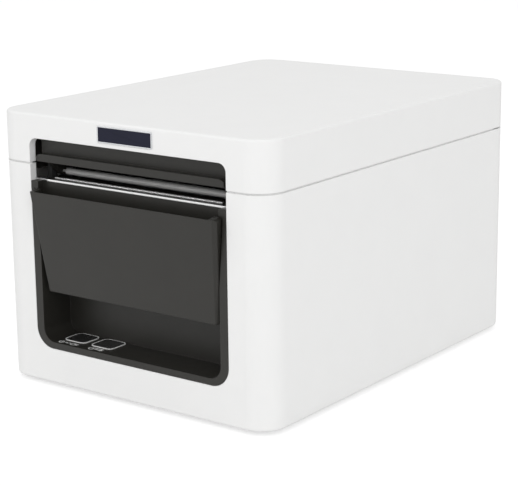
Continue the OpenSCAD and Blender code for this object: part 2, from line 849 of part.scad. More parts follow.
module release_lever() color([0.27, 0.27, 0.26]) placed() difference() {
    union() {
        lever_place() difference() {
            along_y([0, lever_t]) lever_outline(0);
            along_y([lever_wall, lever_t + cut]) lever_outline(lever_wall);
            // eased side edges of the face
            both_sides() translate([lever_bottom_w / 2, 0, lever_corner])
                rotate([0, lever_side_turn, 0]) translate([0, 0, -lever_corner - cut])
                linear_extrude(lever_len + lever_corner + 2 * cut) polygon([
                    [-lever_ease - cut, -cut],
                    [cut, lever_ease + cut],
                    [cut, -cut]]);
            // open top, with the face thinned to an edge for the finger
            along_x([-lever_open_half, lever_open_half]) polygon([
                [lever_edge, lever_len],
                [lever_edge, lever_len + cut],
                [lever_t + cut, lever_len + cut],
                [lever_t + cut, lever_len - lever_wall - lever_open],
                [lever_wall, lever_len - lever_wall - lever_open],
                [lever_wall, lever_len - lever_wall + lever_edge]]);
        }
        // ribs behind the face
        lever_place() for (x = [-lever_rib_x, 0, lever_rib_x])
            span_box([x - lever_rib_t / 2, lever_wall - thin, lever_wall - weld],
                [x + lever_rib_t / 2, lever_t - lever_rib_sink, lever_len - lever_wall + weld]);
        // lugs on the axle
        both_sides() {
            rod_x(lug_x, axle_y, axle_z, lug_r);
            span_box([lug_x[0], lever_sink + 0.6, axle_z - lug_r], [lug_x[1], axle_y, axle_z + lug_r]);
        }
    }
    rod_x([-half_w, half_w], axle_y, axle_z, axle_r + fit);
}

module lever_axle() color("silver") placed() rod_x([-axle_half, axle_half], axle_y, axle_z, axle_r);

// Hooks that hold the lid's studs down, outside the bezel
module lever_hooks() color([0.2, 0.2, 0.2]) placed() both_sides() difference() {
    union() {
        rod_x(hook_x, axle_y, axle_z, hook_hub_r);
        along_x(hook_x) polygon([
            [axle_y - hook_hub_r, axle_z],
            [axle_y + hook_hub_r, axle_z - 1],
            [hook_front + hook_w, axle_z + hook_knee - 1],
            [hook_front + hook_w, hook_low],
            [stud_y + hook_reach, hook_low],
            [stud_y + hook_reach, hook_low + hook_lead],
            [hook_front + hook_w + gap, hook_low + hook_t],
            [hook_front, hook_low + hook_t],
            [hook_front, axle_z + hook_knee]]);
    }
    rod_x([0, half_w], axle_y, axle_z, axle_r + fit);
}

// Torsion spring on the left end of the axle
module lever_spring() color("silver") placed() {
    first_x = -lug_x[1] - coil_start;
    last_x = first_x - (coil_turns - 1) * coil_pitch;
    for (i = [0:coil_turns - 1]) spring_coil(first_x - i * coil_pitch);
    // arm that leans on the pocket's wall
    span_box([last_x - coil_pitch + 0.1, axle_y + coil_r - coil_wire, axle_z + 1],
        [last_x - 0.2, axle_y + coil_r, axle_z + coil_arm]);
}

module spring_coil(x) translate([x, axle_y, axle_z]) rotate([0, -90, 0]) difference() {
    cylinder(h = coil_pitch - 0.15, r = coil_r, $fn = 32);
    translate([0, 0, -cut]) cylinder(h = coil_pitch + 2 * cut, r = axle_r + 0.35, $fn = 32);
}

plate_t = 0.4;
plate_lip = 0.6;
plate_edge = 0.2;
plate_foot = 1.2;
plate_foot_t = 0.3;
plate_drop = 0.15;

// Polished strip folded over the front edge of the paper exit
module exit_plate() color("gainsboro") placed() {
    span_box([-rim_half, band_y - plate_t, bezel_top],
        [rim_half, band_y + plate_edge, bezel_top + plate_lip]);
    span_box([fit - recess_half, band_y - plate_t, bezel_top - plate_drop],
        [recess_half - fit, band_y, bezel_top + thin]);
    span_box([-rim_half, band_y, bezel_top],
        [rim_half, band_y + plate_foot, bezel_top + plate_foot_t]);
}

tear_half = paper_w / 2 + 0.8;

// Blade that the paper is torn against, with its edge folded forward
module tear_bar() color("silver") placed() {
    span_box([-tear_half, slot_y + fit, bezel_top - slot_deep],
        [tear_half, slot_y + slot_t - fit, tear_top]);
    span_box([-tear_half, slot_y + fit - tear_fold, tear_top - tear_lip],
        [tear_half, slot_y + 2 * fit, tear_top]);
}

// ---------------------------------------------------------------- print mechanism

// Side of the mechanism's frame, drawn in (y, z), with a tower that guides the platen's bush
module frame_side() difference() {
    polygon([
        [frame_y[0], frame_low],
        [frame_y[1], frame_low],
        [frame_y[1], frame_high - frame_step],
        [frame_y[1] - frame_slant, frame_high],
        [tower_y[1], frame_high],
        [tower_y[1], tower_top - frame_lean],
        [tower_y[1] - frame_lean, tower_top],
        [tower_y[0], tower_top],
        [tower_y[0], frame_high - frame_lean],
        [frame_y[0], frame_high - frame_lean]]);
    translate([platen_y, platen_z]) circle(r = bush_r + gap);
    translate([platen_y - bush_r - gap, platen_z]) square([2 * (bush_r + gap), tower_top]);
}

module mech_frame() color("lightgray") placed() difference() {
    union() {
        both_sides() along_x([side_in, side_out]) frame_side();
        // floor, front flanges and the shelf under the head's springs
        span_box([-side_out, frame_y[0], frame_low], [side_out, frame_y[1], frame_low + side_t]);
        both_sides() span_box([side_in - flange_w, frame_y[0], frame_low],
            [side_in + thin, frame_y[0] + side_t, frame_high - flange_drop]);
        span_box([-side_in - thin, head_front, spring_seat - side_t],
            [side_in + thin, spring_y + spring_r + 1.3, spring_seat]);
    }
    // bearings of the cutter's cross shaft, the head's pins and the two motor shafts
    rod_x([-half_w, half_w], cross_y, cross_z, cross_r + fit);
    rod_x([-half_w, half_w], head_pivot_y, head_pivot_z, axle_r + fit);
    rod_x([0, half_w], motor_y, motor_z, motor_boss_r + 0.2);
    rod_x([-half_w, 0], cutter_motor_y, cutter_motor_z, cutter_boss_r + 0.2);
    rod_x([0, half_w], idler_y, idler_z, stud_axle_r - 0.1);
    // screw holes
    for (x = [-post_x, post_x], y = post_y) translate([x, y, frame_low - cut])
        cylinder(h = side_t + 2 * cut, r = screw_r + 0.2);
}

module mech_screws() color("silver") placed() for (x = [-post_x, post_x], y = post_y)
    translate([x, y, frame_low + side_t]) {
        cylinder(h = mech_screw_head_h, r = mech_screw_head_r);
        translate([0, 0, -side_t - mech_screw_len])
            cylinder(h = side_t + mech_screw_len + thin, r = screw_r - fit);
    }

// Heat sink of the thermal head, which tilts on its two rear pins
module head_plate() color([0.75, 0.76, 0.77]) placed() {
    difference() {
        span_box([-head_half, head_front, head_low],
            [head_half, head_pivot_y + 1.5, head_high]);
        // cooling grooves below
        for (i = [0:3]) translate([0, spring_y + groove_start + 2 * i * groove_w, head_low])
            span_box([groove_inset - head_half, 0, -cut], [head_half - groove_inset, groove_w, groove_h]);
        // pockets over the springs
        for (x = [-spring_x, 0, spring_x]) translate([x, spring_y, head_low - cut])
            cylinder(h = cut + groove_h / 2, r = spring_r + spring_wire + gap);
    }
    both_sides() rod_x([head_half - 1, side_out + 0.6], head_pivot_y, head_pivot_z, axle_r);
}

module head_strip() color([0.35, 0.3, 0.25]) placed() {
    span_box([-paper_w / 2 - strip_over, strip_y[0], head_high],
        [paper_w / 2 + strip_over, strip_y[1], head_high + strip_t]);
    // glazed bar that carries the heater line
    span_box([-paper_w / 2 + glaze_w / 2, platen_y - glaze_w / 2, head_high + strip_t],
        [paper_w / 2 - glaze_w / 2, platen_y + glaze_w / 2, strip_top]);
    // moulded cover over the driver chips
    span_box([-paper_w / 2 + chip_inset, strip_y[1] + 0.5, head_high],
        [paper_w / 2 - chip_inset, strip_y[1] + chip_w, head_high + chip_h]);
}

module head_springs() color("silver") placed() for (x = [-spring_x, 0, spring_x])
    translate([x, spring_y, spring_seat]) {
        cylinder(h = spring_len / 3, r = spring_r - 2 * spring_wire + 0.1);
        for (i = [0:spring_turns]) translate([0, 0, spring_wire + i * spring_pitch])
            rotate_extrude($fn = 24) translate([spring_r, 0]) circle(r = spring_wire, $fn = 8);
        // wire that joins the turns
        translate([spring_r, 0, 0]) cylinder(h = spring_len, r = spring_wire * 0.6, $fn = 8);
    }

module feed_motor() color("silver") placed() {
    rod_x([side_in - motor_len, side_in], motor_y, motor_z, motor_r);
    // raised boss and shaft collar through the frame
    rod_x([side_in - thin, side_out + boss_out], motor_y, motor_z, motor_boss_r);
    // terminal block
    span_box([side_in - motor_len + terminal_end, motor_y - terminal_w / 2, motor_z - motor_r - terminal_h],
        [side_in - terminal_end, motor_y + terminal_w / 2, motor_z - motor_r + 2]);
}

module feed_pinion() color("goldenrod") placed() {
    gear_x_axis(gear_x, motor_y, motor_z, gear_m, motor_teeth, feed_phase, motor_shaft_r);
    rod_x([side_out + 0.5, gear_x[1] + 0.5], motor_y, motor_z, motor_shaft_r + thin);
}

module idler_gear() color("ivory") placed() difference() {
    gear_x_axis(gear_x, idler_y, idler_z, gear_m, idler_teeth, idler_phase, stud_axle_r + fit);
    // lightened web on the outer face
    web_cut(idler_y, idler_z, web_in, web_out);
}

// Ring cut into a gear's outer face
module web_cut(y, z, r_in, r_out) difference() {
    rod_x([gear_x[1] - web_deep, gear_x[1] + cut], y, z, r_out);
    rod_x([gear_x[0], gear_x[1] + 2 * cut], y, z, r_in);
}

module idler_stud() color("silver") placed() {
    rod_x([side_in + 0.2, gear_x[1] + 0.4], idler_y, idler_z, stud_axle_r - 0.1 - fit);
    rod_x([side_out, gear_x[0] - 0.1], idler_y, idler_z, stud_cap_r);
    rod_x([side_out, gear_x[1] + 0.4], idler_y, idler_z, stud_axle_r);
    rod_x([gear_x[1] + 0.2, gear_x[1] + 0.7], idler_y, idler_z, stud_cap_r);
}

// ---------------------------------------------------------------- cutter

module cutter_guide() color("lightgray") placed() difference() {
    span_box([-side_out, guide_y, guide_low], [side_out, guide_y + guide_t, guide_top]);
    // windows that the racks pass through
    both_sides() span_box([rack_x[0] - gap, guide_y - cut, guide_low - cut],
        [rack_x[1] + gap, guide_y + guide_t + cut, guide_top - guide_bridge]);
    // lightening holes
    for (i = [-2:2]) translate([i * guide_pitch, 0, guide_hole_z])
        along_y([guide_y - cut, guide_y + guide_t + cut]) circle(r = guide_hole_r);
}

module moving_blade() color("silver") placed() along_y([blade_y, blade_y + blade_t]) polygon([
    [-blade_half, blade_top - blade_h],
    [blade_half, blade_top - blade_h],
    [blade_half, blade_top],
    [0, blade_top - blade_vee],
    [-blade_half, blade_top]]);

// A rack's teeth, drawn in (y, z), with a gap level with the pinion at rest
rack_step = PI * rack_m;
rack_low = -5;
rack_high = 2;
rack_top = guide_top - guide_bridge - gap - blade_travel;

module rack_outline() difference() {
    rack_foot = cross_z + (rack_low - 0.5) * rack_step;
    deep = 1.1 * rack_m;
    out = 1.2 * rack_m;
    half_gap = rack_step / 4 + backlash / 2;
    slope = tan(pressure);
    translate([blade_y + blade_t, rack_foot])
        square([rack_pitch_y + rack_m - blade_y - blade_t, rack_top - rack_foot]);
    for (i = [rack_low:rack_high]) translate([rack_pitch_y, cross_z + i * rack_step]) polygon([
        [-deep, deep * slope - half_gap],
        [-deep, half_gap - deep * slope],
        [out, half_gap + out * slope],
        [out, -half_gap - out * slope]]);
    // thinner above the teeth
    translate([guide_y + guide_t + 0.8, cross_z + (rack_high + 0.5) * rack_step])
        square([2 * rack_pitch_y, case_h]);
}

module blade_racks() color([0.3, 0.3, 0.32]) placed() both_sides() along_x(rack_x) rack_outline();

module cutter_shaft() color("silver") placed()
    rod_x([-cutter_gear_x[1] - 0.5, side_out + 1.5], cross_y, cross_z, cross_r);

module cutter_pinions() color("goldenrod") placed() both_sides()
    gear_x_axis([rack_x[0] - 0.5, rack_x[1] + 0.5], cross_y, cross_z, rack_m, rack_teeth, rack_phase,
        cross_r - thin);

module cutter_gear() color("ivory") placed()
    gear_x_axis([-cutter_gear_x[1], -cutter_gear_x[0]], cross_y, cross_z, gear_m, cutter_teeth,
        cutter_phase, cross_r - thin);

module cutter_motor() color("silver") placed() {
    rod_x([-side_in, -side_in + cutter_motor_len], cutter_motor_y, cutter_motor_z, cutter_motor_r);
    rod_x([-side_out - boss_out, -side_in + thin], cutter_motor_y, cutter_motor_z, cutter_boss_r);
    rod_x([-side_in + cutter_motor_len - thin, -side_in + cutter_motor_len + cutter_cap_h],
        cutter_motor_y, cutter_motor_z, cutter_cap_r);
}

module cutter_motor_pinion() color("goldenrod") placed() {
    gear_x_axis([-cutter_gear_x[1], -cutter_gear_x[0]], cutter_motor_y, cutter_motor_z, gear_m,
        motor_teeth, cutter_motor_phase, motor_shaft_r);
    rod_x([-cutter_gear_x[1] - 0.5, -side_out - 0.5], cutter_motor_y, cutter_motor_z,
        motor_shaft_r + thin);
}

// ---------------------------------------------------------------- electronics

module main_board() color("darkgreen") placed() difference() {
    span_box([-board_half, board_y[0], board_low], [board_half, board_y[1], board_top]);
    for (x = [-pillar_x, pillar_x], y = pillar_y) translate([x, y, board_low - cut])
        cylinder(h = board_t + 2 * cut, r = screw_r + 0.3);
}

// Flat packages on the main board: [x, y from the board's front edge, width, depth, height]
chip_places = [
    [-8, 38, 14, 14, 1.4], [14, 30, 10, 10, 1.2], [-30, 26, 9, 6, 1.6],
    [32, 58, 8, 6, 1.6], [-24, 62, 12, 8, 1.8], [8, 62, 7, 7, 1.2]];

module board_chips() color([0.1, 0.1, 0.1]) placed() for (c = chip_places)
    translate([c[0] - c[2] / 2, board_y[0] + c[1] - c[3] / 2, board_top]) cube([c[2], c[3], c[4]]);

// Electrolytic capacitors: [x, y from the board's front edge, radius, height]
can_places = [[-40, 12, 4, 11], [-29, 10, 4, 11], [34, 12, 3.2, 8], [42, 14, 3.2, 8]];
can_groove_z = 1.4;
can_groove_r = 0.4;

module board_capacitors() color("slategray") placed() for (c = can_places)
    translate([c[0], board_y[0] + c[1], board_top]) difference() {
        cylinder(h = c[3], r = c[2]);
        // pressed groove near the foot
        translate([0, 0, can_groove_z]) rotate_extrude() translate([c[2], 0])
            circle(r = can_groove_r, $fn = 8);
    }

// The shell of a socket with an opening in its rear face: [middle x, width, height], depth
module port_shell(port, depth) span_box(
    [port[0] - port[1] / 2, port_face - depth, board_top],
    [port[0] + port[1] / 2, port_face, board_top + port[2]]);

module power_inlet() color([0.12, 0.12, 0.12]) placed() difference() {
    port_shell(power_port, inlet_depth);
    // opening with two cut corners, and the contacts at its end
    translate([power_port[0], 0, board_top + port_wall]) difference() {
        along_y([port_face - plug_depth, port_face + cut]) polygon([
            [-inlet_half, 0],
            [inlet_half, 0],
            [inlet_half, inlet_h - inlet_chamfer],
            [inlet_half - inlet_chamfer, inlet_h],
            [inlet_chamfer - inlet_half, inlet_h],
            [-inlet_half, inlet_h - inlet_chamfer]]);
        for (i = [-1:1]) span_box(
            [i * pin_pitch - pin_t / 2, port_face - plug_depth - cut, inlet_h / 2 - pin_w / 2],
            [i * pin_pitch + pin_t / 2, port_face - plug_depth + pin_t / 2, inlet_h / 2 + pin_w / 2]);
    }
}

module usb_port() color("silver") placed() difference() {
    port_shell(usb_hole, usb_depth);
    translate([usb_hole[0], 0, board_top + port_wall])
        along_y([port_face - plug_depth - 1, port_face + cut]) polygon([
            [-usb_half, 0],
            [usb_half, 0],
            [usb_half, usb_step],
            [usb_half - usb_shoulder, usb_h],
            [usb_shoulder - usb_half, usb_h],
            [-usb_half, usb_step]]);
}

// A modular jack's opening and the notch for its plug's latch
module jack_cut(port, w, h) span_box(
    [port[0] - w / 2, port_face - plug_depth - 1, board_top + port_wall],
    [port[0] + w / 2, port_face + cut, board_top + port_wall + h]);

module lan_port() color("silver") placed() difference() {
    port_shell(lan_hole, jack_depth);
    jack_cut(lan_hole, 11.8, 7.2);
    jack_cut(lan_hole, 6, 9.6);
}

module drawer_port() color([0.15, 0.15, 0.15]) placed() difference() {
    port_shell(drawer_hole, jack_depth);
    jack_cut(drawer_hole, 9.8, 6.8);
    jack_cut(drawer_hole, 5, 9);
}

// Microswitch that the closed lid would press, under the left cover's edge
module cover_switch() color([0.12, 0.12, 0.12]) placed()
    translate([-side_out, cover_switch_y, cover_switch_z]) {
        span_box([-micro_w, -micro_d / 2, -micro_h], [0, micro_d / 2, 0]);
        // plunger
        translate([-micro_w / 2, -micro_d / 4, -thin])
            span_box([-plunger_w / 2, -plunger_w / 2, 0], [plunger_w / 2, plunger_w / 2, plunger_h + thin]);
    }

// Reflective sensor that looks through the bucket's window
module paper_sensor() color([0.12, 0.12, 0.12]) placed()
    translate([-bucket_half - bucket_t, bucket_y + window[0], bucket_z + window[1]])
        span_box([-micro_w, -micro_d / 2, -micro_d / 2], [0, micro_d / 2, micro_d / 2]);

// ---------------------------------------------------------------- lid

module lid_cover() color("whitesmoke") placed() difference() {
    union() {
        difference() {
            case_block(lid_bottom, case_h, top_r);
            translate([0, 0, lid_bottom - cut]) linear_extrude(lid_ceiling - lid_bottom + cut)
                hollow_outline(0);
            // rebate that takes the case's tongue
            both_sides() span_box([inner_half - cut, tongue_y[0] - 2 * gap, lid_bottom - cut],
                [inner_half + tongue_t + gap, tongue_y[1] + 2 * gap, seam_z + tongue_h + gap]);
            hinge_relief(-1);
            both_sides() knuckle_room(case_knuckle);
        }
        both_sides() knuckle(lid_knuckle, 1);
    }
    along_y([-cut, front_t + cut]) mouth_outline(0, mouth_bottom, mouth_top, mouth_low_r, mouth_top_r);
    hinge_bore();
    for (p = lid_points) translate([p[0], p[1], lid_ceiling - cut])
        cylinder(h = cut + wall_t - lid_skin, r = lid_screw_r + 0.1);
}

lid_screw_end = 22;
lid_screw_side = 8;
lid_screw_r = 0.8;
lid_screw_head_r = 2;
lid_screw_head_h = 1.2;
lid_skin = 0.8;
lid_points = [for (x = [-1, 1], y = [lid_screw_end, case_d - lid_screw_end])
    [x * (inner_half - lid_screw_side), y]];

module lid_screws() color("silver") placed() for (p = lid_points)
    translate([p[0], p[1], lid_ceiling - liner_t]) {
        translate([0, 0, -lid_screw_head_h]) cylinder(h = lid_screw_head_h, r = lid_screw_head_r);
        cylinder(h = liner_t + wall_t - 1, r = lid_screw_r + fit);
    }

// Black liner of the lid, with the exit's upper lip and the platen's holders
module lid_liner() color([0.2, 0.2, 0.2]) placed() difference() {
    union() {
        // plate under the lid's top
        translate([0, 0, lid_ceiling - liner_t]) linear_extrude(liner_t) hollow_outline(gap);
        // skirt along both sides
        both_sides() span_box([inner_half - gap - skirt_t, skirt_y[0], skirt_low],
            [inner_half - gap, skirt_y[1], lid_ceiling - thin]);
        // set-back wall above the exit, with the lip along its foot
        span_box([-lip_half, wall_y, lip_low], [lip_half, wall_back, lid_ceiling - thin]);
        intersection() {
            span_box([-lip_half, lip_front, lip_low], [lip_half, wall_y + thin, lip_low + lip_h]);
            along_y([0, wall_back]) lip_face();
        }
        both_sides() {
            // arms that carry the exit roller
            along_x(arm_x) polygon([
                [wall_y, lip_low + 2],
                [wall_y, lip_low],
                [exit_y - arm_half, exit_z - arm_foot],
                [exit_y + arm_foot, exit_z - arm_foot],
                [exit_y + arm_half, lip_low + 2]]);
            span_box([arm_x[0], wall_y, lip_low + 2 - thin],
                [arm_x[1], exit_y + arm_half, lid_ceiling - thin]);
            // cheeks outside the latch hooks
            along_x(cheek_x) polygon([
                [wall_y, lid_ceiling - thin],
                [wall_y, skirt_low],
                [cheek_rear - 2, skirt_low],
                [cheek_rear, skirt_low + 4],
                [cheek_rear, lid_ceiling - thin]]);
            // brackets around the platen's bushes
            along_x(bracket_x) bracket_outline();
        }
        // beam over the fixed blade, hung from webs
        span_box([-bracket_x[0] - thin, beam_y[0], beam_low],
            [bracket_x[0] + thin, beam_y[1], beam_low + beam_t]);
        for (i = [-2:2]) span_box([i * beam_pitch - beam_web / 2, beam_y[0], beam_low],
            [i * beam_pitch + beam_web / 2, beam_y[1], lid_ceiling - thin]);
        // ribs that stiffen the plate
        for (i = [0:4]) translate([0, plate_rib_y + i * plate_rib_pitch, 0])
            span_box([rib_inset - inner_half, 0, lid_ceiling - liner_t - plate_rib_h],
                [inner_half - rib_inset, plate_rib_t, lid_ceiling - thin]);
    }
    both_sides() {
        rod_x([arm_x[0] - cut, arm_x[1] + cut], exit_y, exit_z, exit_journal_r + fit);
        rod_x([bracket_x[0] - cut, bracket_x[1] + cut], platen_y, platen_z, bush_r + fit);
        rod_x([cheek_x[0] - cut, cheek_x[1] + cut], stud_y, stud_z, stud_r - stud_neck);
    }
    for (p = lid_points) translate([p[0], p[1], lid_ceiling - liner_t - cut])
        cylinder(h = liner_t + 2 * cut, r = lid_screw_r + gap);
}

// Front view of the exit's lip, with round ends
module lip_face() hull() for (side = [-1, 1])
    translate([side * (lip_half + 0.4 - lip_h), lip_low - lip_swell]) circle(r = lip_h + lip_swell);

// Bracket of the platen, drawn in (y, z)
module bracket_outline() {
    translate([platen_y, platen_z]) circle(r = bush_r + bracket_rim);
    translate([beam_y[0], beam_low]) square([platen_y + bush_r + bracket_rim - beam_y[0], 2]);
    polygon([
        [beam_y[0], beam_low],
        [platen_y, beam_low],
        [platen_y + bush_r + bracket_rim, platen_z],
        [platen_y + bush_r + 4, lid_ceiling - thin],
        [beam_y[0], lid_ceiling - thin]]);
}

module latch_studs() color("silver") placed() both_sides()
    union() {
        rod_x([hook_x[0] - 0.4, cheek_x[0]], stud_y, stud_z, stud_r);
        rod_x([cheek_x[0] - thin, cheek_x[1] + 0.2], stud_y, stud_z, stud_r - stud_neck - fit);
    }

module fixed_blade() color("silver") placed()
    along_x([-bracket_x[0] + 0.1, bracket_x[0] - 0.1]) polygon([
        [fixed_y[0], fixed_low],
        [fixed_y[1], fixed_low],
        [fixed_y[1], fixed_low + fixed_t],
        [fixed_y[0] + 0.7, fixed_low + fixed_t]]);

module platen_bushes() color("goldenrod") placed() both_sides() difference() {
    union() {
        rod_x([bracket_x[0], side_out + 0.6], platen_y, platen_z, bush_r);
        rod_x([bracket_x[0] - 0.5, bracket_x[0]], platen_y, platen_z, bush_r + 0.6);
    }
    rod_x([0, half_w], platen_y, platen_z, shaft_r + fit);
}

module platen_shaft() color("silver") placed()
    rod_x([-side_out - 1.2, gear_x[1] + 0.5], platen_y, platen_z, shaft_r);

module platen_roller() color([0.15, 0.15, 0.15]) placed() difference() {
    rod_x([-paper_w / 2, paper_w / 2], platen_y, platen_z, platen_r);
    rod_x([-half_w, half_w], platen_y, platen_z, shaft_r);
}

module platen_gear() color("ivory") placed() difference() {
    gear_x_axis(gear_x, platen_y, platen_z, gear_m, platen_teeth, platen_phase, shaft_r);
    web_cut(platen_y, platen_z, shaft_r + web_hub, web_out - 1);
}

module exit_roller() color([0.6, 0.6, 0.6]) placed() {
    rod_x([-exit_roller_len / 2, exit_roller_len / 2], exit_y, exit_z, exit_roller_d / 2);
    both_sides() rod_x([exit_roller_len / 2 - thin, arm_x[1]], exit_y, exit_z, exit_journal_r);
}

lower_case();
base_plate();
rubber_feet();
base_screws();
roll_bucket();
front_bezel();
key_board();
key_switches();
key_rings();
power_key();
feed_key();
release_lever();
lever_axle();
lever_hooks();
lever_spring();
exit_plate();
tear_bar();
mech_frame();
mech_screws();
head_plate();
head_strip();
head_springs();
feed_motor();
feed_pinion();
idler_gear();
idler_stud();
cutter_guide();
moving_blade();
blade_racks();
cutter_shaft();
cutter_pinions();
cutter_gear();
cutter_motor();
cutter_motor_pinion();
main_board();
board_chips();
board_capacitors();
power_inlet();
usb_port();
lan_port();
drawer_port();
hinge_rod();
lid_cover();
lid_liner();
lid_screws();
latch_studs();
fixed_blade();
platen_bushes();
platen_shaft();
platen_roller();
platen_gear();
exit_roller();
cover_switch();
paper_sensor();
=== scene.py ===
import json
import math

import bmesh
import bpy
from mathutils import Matrix, Vector


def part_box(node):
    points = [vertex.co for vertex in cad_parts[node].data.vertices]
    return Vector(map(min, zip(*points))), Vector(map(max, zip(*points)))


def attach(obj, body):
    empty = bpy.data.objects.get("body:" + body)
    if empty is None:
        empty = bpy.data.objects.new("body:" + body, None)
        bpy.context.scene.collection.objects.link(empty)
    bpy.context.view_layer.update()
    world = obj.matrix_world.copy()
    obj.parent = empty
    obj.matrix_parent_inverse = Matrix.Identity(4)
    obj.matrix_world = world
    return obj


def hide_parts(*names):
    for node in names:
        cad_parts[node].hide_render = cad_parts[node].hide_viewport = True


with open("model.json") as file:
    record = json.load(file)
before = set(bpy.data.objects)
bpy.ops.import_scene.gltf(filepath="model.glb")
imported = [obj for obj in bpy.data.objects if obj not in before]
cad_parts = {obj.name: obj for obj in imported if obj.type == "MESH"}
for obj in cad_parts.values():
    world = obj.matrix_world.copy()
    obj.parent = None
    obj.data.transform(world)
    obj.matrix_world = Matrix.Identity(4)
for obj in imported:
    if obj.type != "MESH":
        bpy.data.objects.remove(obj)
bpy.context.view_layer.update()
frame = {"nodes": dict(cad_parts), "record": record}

MM = 0.001


# ---------------------------------------------------------------- places taken from the CAD nodes

def middle(source):
    """The middle of a CAD node's box."""
    low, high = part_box(source)
    return (low + high) / 2


FRONT_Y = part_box("lid_cover")[0].y
RECESS_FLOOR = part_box("key_rings")[0].z
POWER_KEY = middle("power_key")
FEED_KEY = middle("feed_key")

# ---------------------------------------------------------------- sizes of what this scene adds

# Bare plate on the lid's front: width and height, and its middle in x and z
BADGE_SIZE = (26.3 * MM, 6.3 * MM)
BADGE_MID = (1.0 * MM, 103.8 * MM)
BADGE_PROUD = 0.35 * MM
BADGE_SUNK = 0.05 * MM
BADGE_ROUND = 0.5 * MM
BADGE_RIM = 0.45 * MM
FIELD_DEPTH = 0.12 * MM
FIELD_SLOPE = 0.08 * MM

# Marks in front of the keys: points in mm to the right and to the back of each mark's middle,
# and the angles in degrees at which the points of its round sign lie
MARK_LINE = 0.4 * MM
MARK_H = 0.04 * MM
MARK_AHEAD = 7.5 * MM
RING_RADIUS = 1.0
POWER_RING = (-4.0, 0.0)
POWER_TURNS = range(40, 321, 14)
POWER_LINES = [
    [(-4.0, 0.1), (-4.0, 1.3)],
    [(-2.3, 0.0), (-1.6, 0.5), (-0.8, -0.5), (0.0, 0.5), (0.7, 0.0), (1.2, 0.0)],
    [(1.3, 0.9), (2.9, 0.9), (2.9, -0.9), (1.3, -0.9), (1.3, 0.9)],
    [(3.0, 0.45), (4.6, 0.45)],
    [(3.0, -0.45), (4.6, -0.45)],
]
FEED_RING = (-2.4, 0.0)
FEED_TURNS = range(0, 361, 15)
FEED_LINES = [
    [(-2.4, 1.0), (3.4, 1.0)],
    [(-0.8, -0.1), (3.3, -0.1)],
    [(2.3, 0.6), (3.4, -0.1), (2.3, -0.8)],
]

# Shading of the mouldings
SHARP_ANGLE = math.radians(28)
WELD = 1e-6
LARGE_FACE_PULL = 60


# ---------------------------------------------------------------- materials

# How every finish varies: its tone runs over the middle of a noise, and its roughness swings
DRIFT_FROM = 0.3
DRIFT_TO = 0.7
ROUGH_SWING = 0.12
SHEEN_FINER = 5
RELIEF_STRENGTH = 0.6
EDGE_SAMPLES = 4


def node(tree, kind, **sockets):
    """Adds a shader node and sets its inputs and attributes by name."""
    made = tree.nodes.new(kind)
    for name, value in sockets.items():
        if name in made.inputs.keys():
            made.inputs[name].default_value = value
        else:
            setattr(made, name, value)
    return made


def tinted(tone, factor):
    """The tone made lighter or darker by a factor, as an RGBA colour."""
    return [min(1.0, part * factor) for part in tone] + [1.0]


def surface(name, tone, rough, metal=0.0, mottle=0.03, mottle_scale=60.0, grain=0.01 * MM,
            grain_scale=2200.0, stretch=(1.0, 1.0, 1.0), shine=0.5, coat=0.0, eased=0.3 * MM):
    """A material whose tone and roughness drift gently, with a fine relief and eased edges."""
    material = bpy.data.materials.new(name)
    material.use_nodes = True
    tree = material.node_tree
    shader = tree.nodes["Principled BSDF"]
    shader.inputs["Metallic"].default_value = metal
    shader.inputs["Specular IOR Level"].default_value = shine
    shader.inputs["Coat Weight"].default_value = coat
    place = node(tree, "ShaderNodeTexCoord")
    grid = node(tree, "ShaderNodeMapping", Scale=stretch)
    tree.links.new(place.outputs["Object"], grid.inputs["Vector"])

    drift = node(tree, "ShaderNodeTexNoise", Scale=mottle_scale, Detail=4.0, Roughness=0.6)
    tree.links.new(grid.outputs["Vector"], drift.inputs["Vector"])
    tones = node(tree, "ShaderNodeValToRGB")
    darkest, lightest = tones.color_ramp.elements
    darkest.position = DRIFT_FROM
    darkest.color = tinted(tone, 1 - mottle)
    lightest.position = DRIFT_TO
    lightest.color = tinted(tone, 1 + mottle)
    tree.links.new(drift.outputs["Fac"], tones.inputs["Fac"])
    tree.links.new(tones.outputs["Color"], shader.inputs["Base Color"])

    sheen = node(tree, "ShaderNodeTexNoise", Scale=mottle_scale * SHEEN_FINER, Detail=3.0)
    tree.links.new(grid.outputs["Vector"], sheen.inputs["Vector"])
    levels = node(tree, "ShaderNodeMapRange")
    levels.inputs["To Min"].default_value = rough * (1 - ROUGH_SWING)
    levels.inputs["To Max"].default_value = min(1.0, rough * (1 + ROUGH_SWING))
    tree.links.new(sheen.outputs["Fac"], levels.inputs["Value"])
    tree.links.new(levels.outputs["Result"], shader.inputs["Roughness"])

    relief = node(tree, "ShaderNodeTexNoise", Scale=grain_scale, Detail=2.0)
    tree.links.new(grid.outputs["Vector"], relief.inputs["Vector"])
    edges = node(tree, "ShaderNodeBevel", Radius=eased, samples=EDGE_SAMPLES)
    bump = node(tree, "ShaderNodeBump", Strength=RELIEF_STRENGTH, Distance=grain)
    tree.links.new(relief.outputs["Fac"], bump.inputs["Height"])
    tree.links.new(edges.outputs["Normal"], bump.inputs["Normal"])
    tree.links.new(bump.outputs["Normal"], shader.inputs["Normal"])
    return material


BOARD_MASK = (0.02, 0.12, 0.05)
BOARD_DARK = (0.02, 0.11, 0.045, 1.0)
BOARD_LIGHT = (0.024, 0.14, 0.06, 1.0)
BOARD_TRACK = (0.06, 0.24, 0.1, 1.0)
TRACK_SHARE = 0.03


